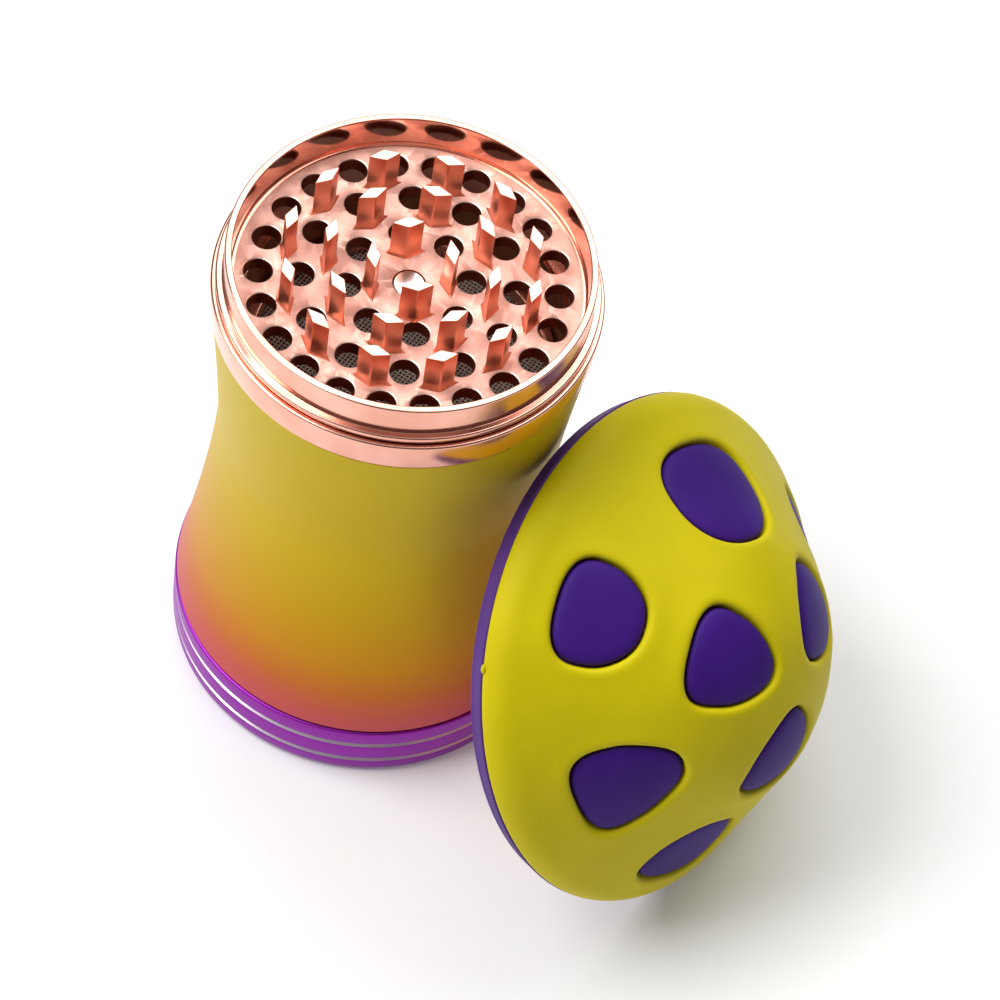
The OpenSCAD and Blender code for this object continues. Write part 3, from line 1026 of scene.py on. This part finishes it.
def build_lid_inside():
    """The insert with its teeth and its post, the magnet in the post, and the slip ring."""
    bm = bmesh.new()
    outline = filleted([
        (0, SOCKET_TOP_W), (POST_R, SOCKET_TOP_W, 0.4), (SOCKET_R, SOCKET_TOP_W, 0.4),
        (SOCKET_R, SOCKET_LIP_W), (SOCKET_LIP_R, SOCKET_LIP_W), (SOCKET_LIP_R, INSERT_FOOT_W, 0.2),
        (INSERT_R, INSERT_FOOT_W, 0.2), (INSERT_R, INSERT_TOP_W - INSERT_CHAMFER, 0.2),
        (INSERT_R - INSERT_CHAMFER, INSERT_TOP_W, 0.2), (0, INSERT_TOP_W),
    ])
    add_lathe(bm, outline, segments=256)
    post = filleted([
        (MAGNET_R, LID_MAGNET_TOP_W), (MAGNET_R, POST_FOOT_W, 0.15), (POST_R, POST_FOOT_W, 0.3),
        (POST_R, SOCKET_TOP_W + 0.1), (MAGNET_R, SOCKET_TOP_W + 0.1),
    ])
    add_lathe(bm, post, segments=64)
    add_tooth_rows(bm, LID_TOOTH_ROWS, SOCKET_TOP_W, 0.1, SIDE, TIP)
    finish_piece("lid_socket", bm, "lid", PLATE_METALS[:3], ["lid_insert"], "rose_gold", LID)
    lathe("lid_magnet_disc", [
        (0, POST_FOOT_W), (MAGNET_R, POST_FOOT_W, 0.25), (MAGNET_R, LID_MAGNET_TOP_W, 0.1),
        (0, LID_MAGNET_TOP_W),
    ], "lid", MAGNET, segments=64, replaces=["lid_magnet"], slot="magnet", place=LID)
    lathe("slip_ring", [
        (25.3, 1.7, 0.15), (26.2, 1.7, 0.15), (26.2, 6.3, 0.15),
        (24.5, 6.3, 0.15), (24.5, 5.3, 0.15), (25.3, 5.3, 0.1),
    ], "lid_carry", SLIP, replaces=["wear_ring"], slot="slip_ring", place=LID)


build_stem()
build_cup()
build_screen()
build_plate()
build_skin(SIDE_SPOTS + CROWN_SPOTS)
for number, spot in enumerate(SIDE_SPOTS, 1):
    build_spot(f"side_pad_{number}", f"spot_{number}", spot)
for number, spot in enumerate(CROWN_SPOTS, 1):
    build_spot(f"crown_pad_{number}", f"crown_spot_{number}", spot)
build_core()
build_lid_inside()

# ---------------------------------------------------------------------------------------------
# Floor, light and camera
# ---------------------------------------------------------------------------------------------


def build_floor():
    """A pale floor just under the object's foot."""
    bm = bmesh.new()
    half = 3.0
    corners = [bm.verts.new((x * half, y * half, 0)) for x, y in ((-1, -1), (1, -1), (1, 1), (-1, 1))]
    bm.faces.new(corners)
    mesh = bpy.data.meshes.new("floor")
    bm.to_mesh(mesh)
    bm.free()
    mesh.materials.append(plain_material(
        "floor", (240, 240, 240), Roughness=0.9, Emission_Color=(1, 1, 1, 1), Emission_Strength=0.12
    ))
    floor = bpy.data.objects.new("floor", mesh)
    bpy.context.scene.collection.objects.link(floor)
    floor.location.z = -0.0002


def direction(azimuth, elevation):
    """A unit vector from the object, given by angles in degrees."""
    a = math.radians(azimuth)
    e = math.radians(elevation)
    return Vector((math.cos(e) * math.cos(a), math.cos(e) * math.sin(a), math.sin(e)))


def area_light(name, azimuth, elevation, distance, size, power):
    """A square softbox that faces the object, with its distance and size in metres and power in watts."""
    away = direction(azimuth, elevation)
    data = bpy.data.lights.new(name, "AREA")
    data.size = size
    data.energy = power
    data.color = (1, 1, 1)
    lamp = bpy.data.objects.new(name, data)
    bpy.context.scene.collection.objects.link(lamp)
    lamp.location = away * distance + Vector((0, 0, 0.045))
    lamp.rotation_euler = away.to_track_quat("Z", "Y").to_euler()


# The camera stands at these angles, in degrees, and looks at CAMERA_AIM_MM up the stem's axis before
# it is panned, tilted and rolled
CAMERA_AZIMUTH = -63.0
CAMERA_ELEVATION = 54.42
CAMERA_DISTANCE_MM = 562.7
CAMERA_AIM_MM = 48.13
CAMERA_PAN = -1.51
CAMERA_TILT = 0.72
CAMERA_ROLL = 8.25
CAMERA_LENS = 144
CAMERA_SHIFT = (0.014, -0.012)


def build_camera():
    """The camera at the photograph's viewing angle."""
    away = direction(CAMERA_AZIMUTH, CAMERA_ELEVATION)
    forward = -away
    right = forward.cross(Vector((0, 0, 1))).normalized()
    down = forward.cross(right)
    look = Matrix((right, down, forward))
    roll = Matrix.Rotation(math.radians(CAMERA_ROLL), 3, "Z")
    tilt = Matrix.Rotation(math.radians(CAMERA_TILT), 3, "X")
    pan = Matrix.Rotation(math.radians(CAMERA_PAN), 3, "Y")
    rows = roll @ tilt @ pan @ look
    turn = Matrix((rows[0], -rows[1], -rows[2])).transposed().to_4x4()
    data = bpy.data.cameras.new("camera")
    data.sensor_width = 36
    data.lens = CAMERA_LENS
    data.clip_start = 0.01
    data.shift_x = CAMERA_SHIFT[0]
    data.shift_y = CAMERA_SHIFT[1]
    camera = bpy.data.objects.new("camera", data)
    bpy.context.scene.collection.objects.link(camera)
    place = away * CAMERA_DISTANCE_MM * MM + Vector((0, 0, CAMERA_AIM_MM * MM))
    camera.matrix_world = Matrix.Translation(place) @ turn
    bpy.context.scene.camera = camera


def build_world():
    """A weak, even white surround."""
    world = bpy.data.worlds.new("studio")
    bpy.context.scene.world = world
    world.use_nodes = True
    sky = world.node_tree.nodes["Background"]
    sky.inputs["Color"].default_value = (1.0, 1.0, 1.0, 1.0)
    sky.inputs["Strength"].default_value = 0.13


build_floor()
area_light("key_softbox", -148, 54, 0.9, 0.6, 8.3)
area_light("back_softbox", 105, 58, 0.9, 0.8, 6.0)
area_light("top_softbox", -60, 82, 1.1, 0.7, 0.6)
build_camera()
build_world()
bpy.context.scene.view_settings.view_transform = "Standard"
